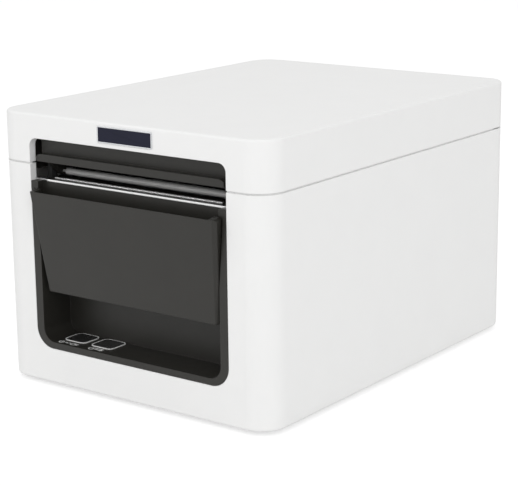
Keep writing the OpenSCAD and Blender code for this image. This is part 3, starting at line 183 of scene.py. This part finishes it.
def board_surface(name):
    """Green solder mask over faint copper tracks."""
    material = surface(name, BOARD_MASK, 0.32, coat=0.4, mottle=0.1)
    tree = material.node_tree
    place = node(tree, "ShaderNodeTexCoord")
    tracks = node(tree, "ShaderNodeTexBrick", Scale=160.0, offset=0.35, Color1=BOARD_DARK,
                  Color2=BOARD_LIGHT, Mortar=BOARD_TRACK)
    tracks.inputs["Mortar Size"].default_value = TRACK_SHARE
    tree.links.new(place.outputs["Object"], tracks.inputs["Vector"])
    tree.links.new(tracks.outputs["Color"], tree.nodes["Principled BSDF"].inputs["Base Color"])
    return material


BRUSHED = (0.04, 1.0, 1.0)
TURNED = (1.0, 0.1, 0.1)

# Each of the record's slots but the board's, then the finishes that only this scene has
FINISHES = {
    "shell_white": dict(tone=(0.84, 0.84, 0.835), rough=0.62, mottle=0.006, shine=0.3,
                        grain=0.012 * MM),
    "liner_black": dict(tone=(0.0182, 0.0172, 0.0145), rough=0.42, mottle=0.08, shine=0.38,
                        grain=0.012 * MM),
    "lever_black": dict(tone=(0.019, 0.018, 0.015), rough=0.4, mottle=0.06, shine=0.37,
                        grain=0.008 * MM, eased=0.9 * MM),
    "key_black": dict(tone=(0.02, 0.02, 0.02), rough=0.28, mottle=0.08, coat=0.2),
    "key_light": dict(tone=(0.92, 0.92, 0.91), rough=0.35, mottle=0.05),
    "foot_rubber": dict(tone=(0.06, 0.06, 0.06), rough=0.75, mottle=0.15, grain=0.03 * MM),
    "platen_rubber": dict(tone=(0.035, 0.035, 0.037), rough=0.6, mottle=0.12, grain=0.02 * MM),
    "bright_strip": dict(tone=(0.72, 0.72, 0.72), rough=0.2, metal=1.0, mottle=0.02,
                         stretch=BRUSHED, grain=0.002 * MM),
    "exit_grey": dict(tone=(0.54, 0.535, 0.53), rough=0.3, mottle=0.05, shine=0.8,
                      stretch=TURNED, grain=0.004 * MM),
    "shaft_steel": dict(tone=(0.6, 0.6, 0.59), rough=0.22, metal=1.0, mottle=0.05, grain=0.002 * MM),
    "screw_steel": dict(tone=(0.55, 0.55, 0.54), rough=0.32, metal=1.0, mottle=0.1),
    "blade_steel": dict(tone=(0.84, 0.84, 0.84), rough=0.25, metal=1.0, mottle=0.05,
                        stretch=BRUSHED, grain=0.003 * MM, eased=0.6 * MM),
    "frame_steel": dict(tone=(0.56, 0.57, 0.57), rough=0.38, metal=1.0, mottle=0.12,
                        mottle_scale=180.0, grain=0.004 * MM),
    "hook_steel": dict(tone=(0.05, 0.05, 0.05), rough=0.4, mottle=0.1),
    "spring_steel": dict(tone=(0.5, 0.5, 0.5), rough=0.28, metal=1.0, mottle=0.08),
    "motor_steel": dict(tone=(0.5, 0.5, 0.5), rough=0.3, metal=1.0, mottle=0.06,
                        stretch=BRUSHED, grain=0.004 * MM),
    "brass_part": dict(tone=(0.72, 0.53, 0.25), rough=0.28, metal=1.0, mottle=0.08),
    "gear_white": dict(tone=(0.72, 0.71, 0.66), rough=0.4, mottle=0.03),
    "rack_black": dict(tone=(0.045, 0.045, 0.05), rough=0.4, mottle=0.1),
    "head_alloy": dict(tone=(0.66, 0.67, 0.68), rough=0.34, metal=1.0, mottle=0.05,
                       stretch=BRUSHED, grain=0.006 * MM),
    "head_glaze": dict(tone=(0.1, 0.075, 0.055), rough=0.14, mottle=0.12, coat=0.5),
    "chip_black": dict(tone=(0.03, 0.03, 0.03), rough=0.5, mottle=0.15),
    "can_sleeve": dict(tone=(0.05, 0.07, 0.11), rough=0.3, mottle=0.06, coat=0.3),
    "port_black": dict(tone=(0.03, 0.03, 0.03), rough=0.45, mottle=0.1),
    "port_steel": dict(tone=(0.7, 0.7, 0.69), rough=0.24, metal=1.0, mottle=0.04),
    # A lighter copy of blade_steel for the tear bar: a painted highlight on its thin edge
    "tear_steel_painted_highlight": dict(tone=(0.93, 0.93, 0.93), rough=0.25, metal=1.0, mottle=0.02,
                       stretch=BRUSHED, grain=0.003 * MM, eased=0.8 * MM),
    "badge_rim": dict(tone=(0.62, 0.63, 0.65), rough=0.25, metal=1.0, mottle=0.04),
    "badge_enamel": dict(tone=(0.006, 0.007, 0.022), rough=0.22, mottle=0.1, shine=0.2),
}
MATERIALS = {name: surface(name, **finish) for name, finish in FINISHES.items()}
MATERIALS["board_green"] = board_surface("board_green")


def dress(piece, slot):
    """Gives a piece the material of one of the record's slots."""
    piece.data.materials.clear()
    piece.data.materials.append(MATERIALS[slot])


# ---------------------------------------------------------------- mesh helpers

def new_piece(name, work):
    """Turns finished mesh work into an object of the scene."""
    mesh = bpy.data.meshes.new(name)
    work.to_mesh(mesh)
    work.free()
    piece = bpy.data.objects.new(name, mesh)
    bpy.context.scene.collection.objects.link(piece)
    return piece


def smooth_moulding(name, source):
    """A welded copy of a CAD shell whose rounded corners shade as one smooth surface."""
    work = bmesh.new()
    work.from_mesh(frame["nodes"][source].data)
    bmesh.ops.remove_doubles(work, verts=work.verts, dist=WELD)
    for face in work.faces:
        face.smooth = True
    for edge in work.edges:
        edge.smooth = len(edge.link_faces) == 2 and edge.calc_face_angle() < SHARP_ANGLE
    piece = new_piece(name, work)
    weights = piece.modifiers.new("even_faces", "WEIGHTED_NORMAL")
    weights.keep_sharp = True
    weights.weight = LARGE_FACE_PULL
    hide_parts(source)
    return piece


# ---------------------------------------------------------------- CAD nodes

slots = {part["node"]: part["material_slot"] for part in frame["record"]["subparts"]}
for name, part in frame["nodes"].items():
    dress(part, slots[name])

# The tear bar's thin edge gets a lighter copy of the steel of the cutter's blades, which share its
# slot: a painted highlight that makes its line read brighter
frame["nodes"]["tear_bar"].data.materials[0] = MATERIALS["tear_steel_painted_highlight"]

MOULDINGS = ["lower_case", "lid_cover", "base_plate", "front_bezel", "lid_liner", "release_lever",
             "roll_bucket", "power_key", "feed_key", "key_rings"]
bodies = frame["record"]["behaviour"]["bodies"]
body_of = {member: body for body, members in bodies.items() for member in members}
for source in MOULDINGS:
    piece = smooth_moulding(source + "_moulding", source)
    dress(piece, slots[source])
    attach(piece, body_of[source])


# ---------------------------------------------------------------- bare plate on the lid

def rounded_box(work, low, high, radius, steps=6):
    """Adds a prism with rounded corners in (x, z) between two depths, and returns its front face."""
    corners = [(high.x - radius, high.z - radius, 0), (low.x + radius, high.z - radius, 90),
               (low.x + radius, low.z + radius, 180), (high.x - radius, low.z + radius, 270)]
    ring = []
    for x, z, start in corners:
        for i in range(steps + 1):
            turn = math.radians(start + 90 * i / steps)
            ring.append((x + radius * math.cos(turn), z + radius * math.sin(turn)))
    front = [work.verts.new((x, low.y, z)) for x, z in ring]
    back = [work.verts.new((x, high.y, z)) for x, z in ring]
    face = work.faces.new(front)
    work.faces.new(list(reversed(back)))
    for i in range(len(ring)):
        j = (i + 1) % len(ring)
        work.faces.new((front[j], front[i], back[i], back[j]))
    return face


def make_badge():
    """A dark enamelled plate with a thin bright rim."""
    half_w, half_h = BADGE_SIZE[0] / 2, BADGE_SIZE[1] / 2
    x, z = BADGE_MID
    work = bmesh.new()
    low = Vector((x - half_w, FRONT_Y - BADGE_PROUD, z - half_h))
    high = Vector((x + half_w, FRONT_Y + BADGE_SUNK, z + half_h))
    field = rounded_box(work, low, high, BADGE_ROUND)
    bmesh.ops.recalc_face_normals(work, faces=work.faces)
    bmesh.ops.inset_region(work, faces=[field], thickness=BADGE_RIM, depth=0.0)
    slopes = bmesh.ops.inset_region(work, faces=[field], thickness=FIELD_SLOPE, depth=-FIELD_DEPTH)
    for face in [field] + slopes["faces"]:
        face.material_index = 1
    plate = new_piece("badge_plate", work)
    plate.data.materials.append(MATERIALS["badge_rim"])
    plate.data.materials.append(MATERIALS["badge_enamel"])
    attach(plate, "lid")


make_badge()


# ---------------------------------------------------------------- marks in front of the keys

def ribbon(work, points, width, low, height):
    """Adds a flat printed line of even width along points in (x, y)."""
    left, right = [], []
    for i, point in enumerate(points):
        along = (points[min(i + 1, len(points) - 1)] - points[max(i - 1, 0)]).normalized()
        side = Vector((-along.y, along.x)) * width / 2
        left.append(point + side)
        right.append(point - side)
    rows = [[work.verts.new((p.x, p.y, z)) for p in row]
            for row, z in ((left, low), (left, low + height), (right, low + height), (right, low))]
    for i in range(len(points) - 1):
        for row, beside in zip(rows, rows[1:] + rows[:1]):
            work.faces.new((row[i], row[i + 1], beside[i + 1], beside[i]))
    work.faces.new([row[0] for row in rows])
    work.faces.new([row[-1] for row in reversed(rows)])


def printed_mark(name, key, ring, turns, lines):
    """A round sign drawn through the given angles, with lines beside it, printed ahead of a key."""
    work = bmesh.new()
    at = Vector((key.x, key.y - MARK_AHEAD))
    round_sign = [(ring[0] + RING_RADIUS * math.sin(math.radians(turn)),
                   ring[1] + RING_RADIUS * math.cos(math.radians(turn))) for turn in turns]
    for line in [round_sign] + lines:
        ribbon(work, [at + Vector(point) * MM for point in line], MARK_LINE, RECESS_FLOOR, MARK_H)
    bmesh.ops.recalc_face_normals(work, faces=work.faces)
    mark = new_piece(name, work)
    dress(mark, "key_light")
    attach(mark, "base")


printed_mark("power_mark", POWER_KEY, POWER_RING, POWER_TURNS, POWER_LINES)
printed_mark("feed_mark", FEED_KEY, FEED_RING, FEED_TURNS, FEED_LINES)


# ---------------------------------------------------------------- floor and surroundings

FLOOR_SIZE = 16.0
FLOOR_CELLS = 8
FLOOR_TONE = 0.9
FLOOR_GLOW = 0.66
SEEN_SHARE = 0.5
WORLD_LEVEL = 0.62
WHITE = (1.0, 1.0, 1.0, 1.0)


def seen_plainly(tree):
    """A factor of 1 for what is seen directly, in a reflection or through a clear piece."""
    path = node(tree, "ShaderNodeLightPath")
    total = path.outputs["Is Camera Ray"]
    for ray in ("Is Glossy Ray", "Is Transmission Ray"):
        either = node(tree, "ShaderNodeMath", operation="MAXIMUM")
        tree.links.new(total, either.inputs[0])
        tree.links.new(path.outputs[ray], either.inputs[1])
        total = either.outputs[0]
    return total


def studio_surface(name):
    """A pale surface that keeps shadows and glows where it is seen plainly, so it looks white."""
    material = bpy.data.materials.new(name)
    material.use_nodes = True
    tree = material.node_tree
    tree.nodes.clear()
    out = node(tree, "ShaderNodeOutputMaterial")
    lit = node(tree, "ShaderNodeBsdfDiffuse", Color=tinted(WHITE[:3], FLOOR_TONE))
    seen = node(tree, "ShaderNodeBsdfDiffuse", Color=tinted(WHITE[:3], FLOOR_TONE * SEEN_SHARE))
    glow = node(tree, "ShaderNodeEmission", Strength=FLOOR_GLOW)
    both = node(tree, "ShaderNodeAddShader")
    pick = node(tree, "ShaderNodeMixShader")
    tree.links.new(seen.outputs[0], both.inputs[0])
    tree.links.new(glow.outputs[0], both.inputs[1])
    tree.links.new(seen_plainly(tree), pick.inputs["Fac"])
    tree.links.new(lit.outputs[0], pick.inputs[1])
    tree.links.new(both.outputs[0], pick.inputs[2])
    tree.links.new(pick.outputs[0], out.inputs["Surface"])
    return material


def make_floor():
    """A wide flat floor under the printer's feet."""
    work = bmesh.new()
    bmesh.ops.create_grid(work, x_segments=FLOOR_CELLS, y_segments=FLOOR_CELLS, size=FLOOR_SIZE / 2)
    floor = new_piece("studio_floor", work)
    floor.data.materials.append(studio_surface("studio_floor"))


def make_world():
    """An even soft light from all round, which is plain white where it is seen."""
    world = bpy.data.worlds.new("studio")
    bpy.context.scene.world = world
    world.use_nodes = True
    tree = world.node_tree
    tree.nodes.clear()
    out = node(tree, "ShaderNodeOutputWorld")
    light = node(tree, "ShaderNodeBackground", Color=WHITE, Strength=WORLD_LEVEL)
    seen = node(tree, "ShaderNodeBackground", Color=WHITE, Strength=1.0)
    pick = node(tree, "ShaderNodeMixShader")
    tree.links.new(seen_plainly(tree), pick.inputs["Fac"])
    tree.links.new(light.outputs[0], pick.inputs[1])
    tree.links.new(seen.outputs[0], pick.inputs[2])
    tree.links.new(pick.outputs[0], out.inputs["Surface"])


make_floor()
make_world()

# ---------------------------------------------------------------- lights

LIGHT_AIM = Vector((0.0, 0.0, 0.05))

# Name, place, what the lamp adds to a white surface that faces it, and its side
LIGHTS = [
    ("front_light", (1.3, -1.6, 1.3), 0.385, 2.0),
    ("left_light", (-1.4, -1.3, 1.3), 0.125, 1.4),
    ("top_light", (-0.2, 0.4, 2.2), 0.12, 1.8),
    ("right_light", (2.0, 1.1, 0.7), 0.045, 1.2),
]


def soft_light(name, place, level, size):
    """A square lamp aimed at the printer, whose power follows from its level and distance."""
    ray = LIGHT_AIM - Vector(place)
    lamp = bpy.data.lights.new(name, "AREA")
    lamp.shape = "SQUARE"
    lamp.size = size
    lamp.energy = math.pi ** 2 * ray.length_squared * level
    made = bpy.data.objects.new(name, lamp)
    made.location = place
    made.rotation_euler = ray.to_track_quat("-Z", "Y").to_euler()
    bpy.context.scene.collection.objects.link(made)


for light in LIGHTS:
    soft_light(*light)

# ---------------------------------------------------------------- camera

# Fitted to the edges of the case in the photograph
CAMERA_PLACE = Vector((395.967, -534.053, 210.942)) * MM
CAMERA_YAW = math.radians(36.6963)
CAMERA_PITCH = math.radians(13.8923)
CAMERA_ROLL = math.radians(-0.66386)
CAMERA_LENS = 115.215
CAMERA_SENSOR = 36.0
CAMERA_REACH = 60.0


def make_camera():
    """The scene's camera, turned by its yaw, pitch and roll."""
    level = math.cos(CAMERA_PITCH)
    ahead = Vector((-math.sin(CAMERA_YAW) * level, math.cos(CAMERA_YAW) * level,
                    -math.sin(CAMERA_PITCH)))
    level_right = Vector((math.cos(CAMERA_YAW), math.sin(CAMERA_YAW), 0.0))
    level_up = level_right.cross(ahead)
    right = math.cos(CAMERA_ROLL) * level_right + math.sin(CAMERA_ROLL) * level_up
    up = math.cos(CAMERA_ROLL) * level_up - math.sin(CAMERA_ROLL) * level_right
    lens = bpy.data.cameras.new("camera")
    lens.sensor_width = CAMERA_SENSOR
    lens.lens = CAMERA_LENS
    lens.clip_end = CAMERA_REACH
    camera = bpy.data.objects.new("camera", lens)
    turn = Matrix((right, up, -ahead)).transposed().to_4x4()
    camera.matrix_world = Matrix.Translation(CAMERA_PLACE) @ turn
    bpy.context.scene.collection.objects.link(camera)
    bpy.context.scene.camera = camera


make_camera()
bpy.context.scene.view_settings.view_transform = "Standard"
